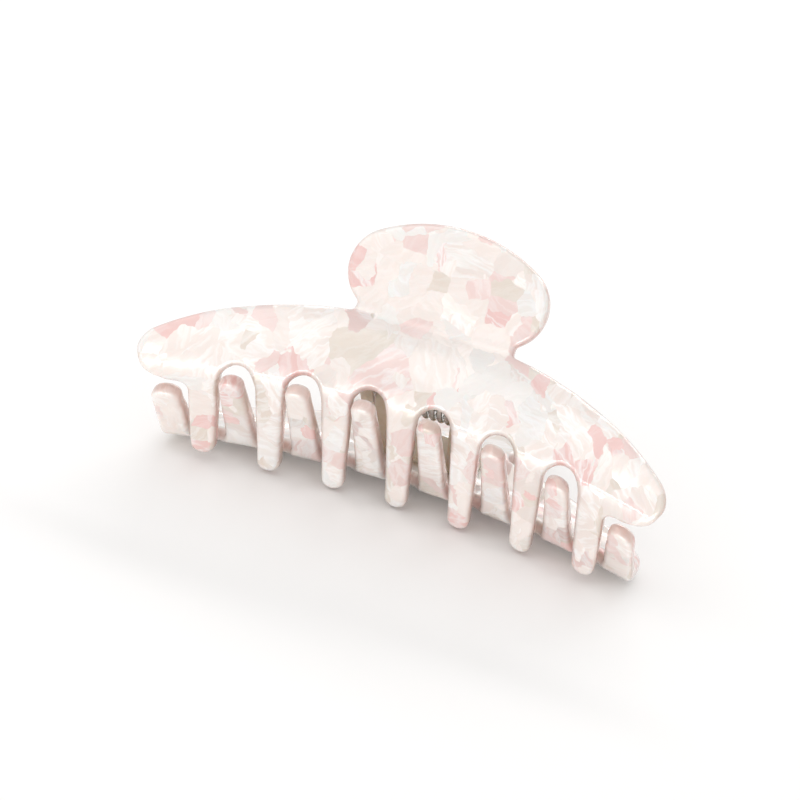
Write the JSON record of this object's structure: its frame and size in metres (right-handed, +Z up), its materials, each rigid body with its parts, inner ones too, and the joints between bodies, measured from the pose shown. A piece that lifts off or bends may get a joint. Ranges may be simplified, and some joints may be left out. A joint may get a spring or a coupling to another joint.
{
  "type": "hair claw clip",
  "caption": "Large hair claw clip: two toothed, bowed sheet jaws with oval thumb handles on a spring-loaded hinge that snaps them shut.",
  "frame": {"origin": "centre of the clip's footprint box, on the surface it lies on, closed and on its back jaw", "axes": "+X along the clip and the hinge pin, +Y from the teeth towards the handles, +Z up"},
  "size_m": [0.105, 0.0526, 0.0535],
  "materials": {
    "acetate_pearl_pink": "polished pearl acetate in pale pink, white and clear chips",
    "acetate_plain_beige": "polished clear beige acetate",
    "steel_pin": "drawn steel with riveted ends",
    "steel_spring": "bright spring wire"
  },
  "bodies": {
    "back": {"back_jaw": "acetate_pearl_pink", "back_hinge_plate": "acetate_plain_beige", "hinge_pin": "steel_pin", "torsion_spring": "steel_spring"},
    "front": {"front_jaw": "acetate_pearl_pink", "front_hinge_plate": "acetate_plain_beige"}
  },
  "joints": [
    {"name": "claw_hinge", "type": "hinge", "parent": "back", "child": "front", "pos_m": [0, -0.00396, 0.01911], "axis": [-1, 0, 0], "range_deg": [0, 80], "stiffness_Nm_per_rad": 0.06, "springref_deg": -68.75, "deforming": ["torsion_spring"]}
  ]
}
